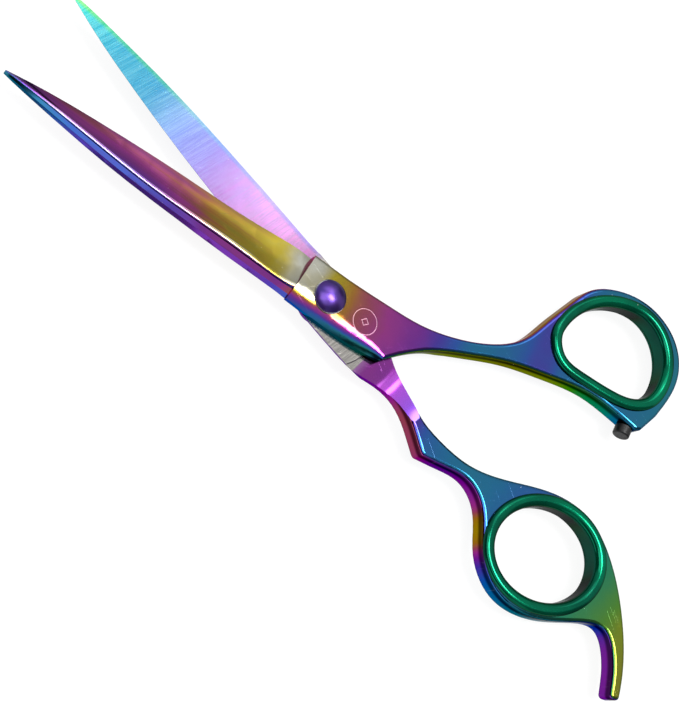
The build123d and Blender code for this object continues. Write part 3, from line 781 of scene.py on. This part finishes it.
class Sky:
    """The world's light as a sum and product of smooth masks over the direction."""

    def __init__(self):
        world = bpy.data.worlds.new("studio")
        bpy.context.scene.world = world
        world.use_nodes = True
        self.tree = world.node_tree
        self.direction = self.tree.nodes.new("ShaderNodeTexCoord").outputs["Generated"]
        parts = self.tree.nodes.new("ShaderNodeSeparateXYZ")
        self.tree.links.new(self.direction, parts.inputs[0])
        self.axes = dict(zip("xyz", parts.outputs))

    def feed(self, socket, value):
        if isinstance(value, bpy.types.NodeSocket):
            self.tree.links.new(value, socket)
        else:
            socket.default_value = value

    def ramp(self, value, low, high, new_low=0.0, new_high=1.0):
        made = self.tree.nodes.new("ShaderNodeMapRange")
        made.interpolation_type = "SMOOTHSTEP"
        for socket, given in zip(made.inputs, (value, low, high, new_low, new_high)):
            self.feed(socket, given)
        return made.outputs[0]

    def math(self, operation, first, second):
        made = self.tree.nodes.new("ShaderNodeMath")
        made.operation = operation
        self.feed(made.inputs[0], first)
        self.feed(made.inputs[1], second)
        return made.outputs[0]

    def mask(self, bounds):
        """1 inside all the bounds, 0 outside any of them."""
        ramps = [self.ramp(self.axes[axis], none, full) for axis, none, full in bounds]
        out = ramps[0]
        for ramp in ramps[1:]:
            out = self.math("MULTIPLY", out, ramp)
        return out

    def spot(self, aim, outer, core):
        """A soft round light: angles in degrees from its aim to its outer edge and its core."""
        made = self.tree.nodes.new("ShaderNodeVectorMath")
        made.operation = "DOT_PRODUCT"
        self.feed(made.inputs[0], self.direction)
        made.inputs[1].default_value = Vector(aim).normalized()
        return self.ramp(made.outputs["Value"], math.cos(math.radians(outer)), math.cos(math.radians(core)))

    def finish(self, strength, seen):
        """Lights the scene with this strength, while the camera sees one plain tone."""
        ray = self.tree.nodes.new("ShaderNodeLightPath")
        mix = self.tree.nodes.new("ShaderNodeMix")
        mix.data_type = "FLOAT"
        self.feed(mix.inputs[0], ray.outputs["Is Camera Ray"])
        self.feed(mix.inputs[2], strength)
        self.feed(mix.inputs[3], seen)
        background = self.tree.nodes["Background"]
        background.inputs["Color"].default_value = WHITE
        self.feed(background.inputs["Strength"], mix.outputs[0])


def make_world():
    """A soft white tent with dark sides low down, an overhead strip, panels and two boxes."""
    sky = Sky()
    glow = sky.ramp(sky.axes["z"], *TENT_RISE, TENT_LOW, TENT_HIGH)
    for bounds, left in DARKS:
        glow = sky.math("MULTIPLY", glow, sky.ramp(sky.mask(bounds), 0.0, 1.0, 1.0, left))
    for bounds, power in LIGHTS:
        glow = sky.math("ADD", glow, sky.math("MULTIPLY", sky.mask(bounds), power))
    for aim, outer, core, power in BOXES:
        glow = sky.math("ADD", glow, sky.math("MULTIPLY", sky.spot(aim, outer, core), power))
    sky.finish(glow, SKY_SEEN)


def make_lamp(target):
    """A weak square area light above the shears."""
    data = bpy.data.lights.new("overhead", "AREA")
    data.shape = "SQUARE"
    data.size = LAMP_SIZE
    data.energy = LAMP_POWER
    light = bpy.data.objects.new("overhead", data)
    light.location = target + LAMP_OFFSET
    light.rotation_mode = "QUATERNION"
    light.rotation_quaternion = (-LAMP_OFFSET).to_track_quat("-Z", "Y")
    bpy.context.scene.collection.objects.link(light)


def make_camera():
    """The main camera, at the viewing angle of the rest picture."""
    data = bpy.data.cameras.new("camera")
    data.lens = CAMERA_LENS
    data.sensor_width = CAMERA_SENSOR
    data.clip_start = CAMERA_NEAR
    data.clip_end = CAMERA_FAR
    camera = bpy.data.objects.new("camera", data)
    bpy.context.scene.collection.objects.link(camera)
    back = CAMERA_BACK.normalized()
    right = CAMERA_UP.cross(back).normalized()
    up = back.cross(right)
    turn = Matrix((right, up, back)).transposed().to_4x4()
    camera.matrix_world = Matrix.Translation(CAMERA_PLACE) @ turn
    bpy.context.scene.camera = camera


dress()
make_spring()
make_floor()
make_world()
make_lamp((cad_low + cad_high) / 2)
make_camera()
bpy.context.scene.view_settings.view_transform = "Standard"
